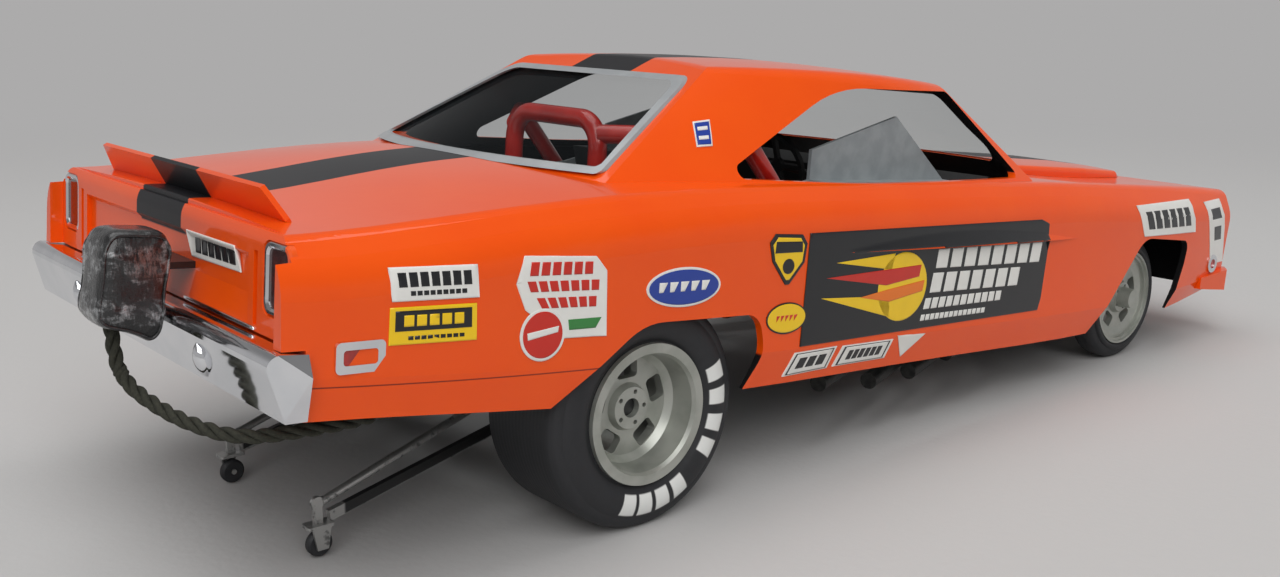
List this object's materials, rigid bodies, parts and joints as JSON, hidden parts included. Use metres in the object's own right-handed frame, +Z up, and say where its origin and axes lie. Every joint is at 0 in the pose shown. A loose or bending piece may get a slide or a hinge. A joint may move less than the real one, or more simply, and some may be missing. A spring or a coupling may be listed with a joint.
{
  "type": "scale model drag racing car",
  "caption": "Scale model of a hardtop drag racing car with a one-piece body, tube chassis, slick tyres, wheelie bars and a parachute pack.",
  "frame": {"origin": "on the floor under the middle of the overall length, on the body's centre line", "axes": "+X to the car's left, -Y to its front, +Z up"},
  "size_m": [0.08, 0.2126, 0.0562],
  "materials": {
    "body_paint": "gloss orange lacquer",
    "clear_glass": "clear glossy",
    "grey_trim": "satin grey",
    "bright_plate": "polished",
    "red_lens": "clear dark red",
    "amber_lens": "clear red",
    "lamp_glass": "clear over silver",
    "dark_grille": "satin black",
    "tyre_black": "smooth matt",
    "cast_silver": "satin silver grey",
    "frame_paint": "satin black",
    "cage_paint": "gloss red",
    "tin_grey": "satin grey",
    "pipe_grey": "matt metallic grey",
    "engine_orange": "gloss orange",
    "seat_black": "matt",
    "pack_leather": "black with rubbed silver",
    "rope_olive": "twisted cord",
    "bar_steel": "rubbed silver on black"
  },
  "bodies": {
    "car": {"body_shell": "body_paint", "crossmembers": "frame_paint", "dash": "seat_black", "driveline": "frame_paint", "driver_seat": "seat_black", "engine": "engine_orange", "frame_rail_left": "frame_paint", "frame_rail_right": "frame_paint", "front_axle": "frame_paint", "front_bumper": "body_paint", "grille": "dark_grille", "headers_left": "pipe_grey", "headers_right": "pipe_grey", "headlamps": "lamp_glass", "hood_scoop": "body_paint", "interior_tin": "tin_grey", "parachute_bracket": "frame_paint", "parachute_pack": "pack_leather", "radius_rods": "frame_paint", "rear_axle": "frame_paint", "rear_bumper": "bright_plate", "rear_spoiler": "body_paint", "rear_window": "clear_glass", "rear_window_trim": "grey_trim", "roll_cage": "cage_paint", "side_marker_bezels": "bright_plate", "side_marker_lenses": "amber_lens", "steering_wheel": "seat_black", "taillight_bezels": "bright_plate", "taillight_lenses": "red_lens", "tether": "rope_olive", "wheelie_bar_left": "bar_steel", "wheelie_bar_right": "bar_steel", "windshield": "clear_glass", "windshield_trim": "grey_trim"},
    "rear_left_wheel": {"tire_rear_left": "tyre_black", "wheel_rear_left": "cast_silver"},
    "rear_right_wheel": {"tire_rear_right": "tyre_black", "wheel_rear_right": "cast_silver"},
    "front_left_wheel": {"tire_front_left": "tyre_black", "wheel_front_left": "cast_silver"},
    "front_right_wheel": {"tire_front_right": "tyre_black", "wheel_front_right": "cast_silver"},
    "left_bar_wheel": {"wheelie_wheel_left": "tyre_black"},
    "right_bar_wheel": {"wheelie_wheel_right": "tyre_black"}
  },
  "joints": [
    {"name": "rear_left_spin", "type": "hinge", "parent": "car", "child": "rear_left_wheel", "pos_m": [0, 0.05009, 0.01486], "axis": [1, 0, 0], "continuous": true},
    {"name": "rear_right_spin", "type": "hinge", "parent": "car", "child": "rear_right_wheel", "pos_m": [0, 0.05009, 0.01486], "axis": [1, 0, 0], "continuous": true},
    {"name": "front_left_spin", "type": "hinge", "parent": "car", "child": "front_left_wheel", "pos_m": [0, -0.06851, 0.01145], "axis": [1, 0, 0], "continuous": true},
    {"name": "front_right_spin", "type": "hinge", "parent": "car", "child": "front_right_wheel", "pos_m": [0, -0.06851, 0.01145], "axis": [1, 0, 0], "continuous": true},
    {"name": "left_bar_spin", "type": "hinge", "parent": "car", "child": "left_bar_wheel", "pos_m": [0, 0.08389, 0.00185], "axis": [1, 0, 0], "continuous": true},
    {"name": "right_bar_spin", "type": "hinge", "parent": "car", "child": "right_bar_wheel", "pos_m": [0, 0.08579, 0.00185], "axis": [1, 0, 0], "continuous": true}
  ]
}
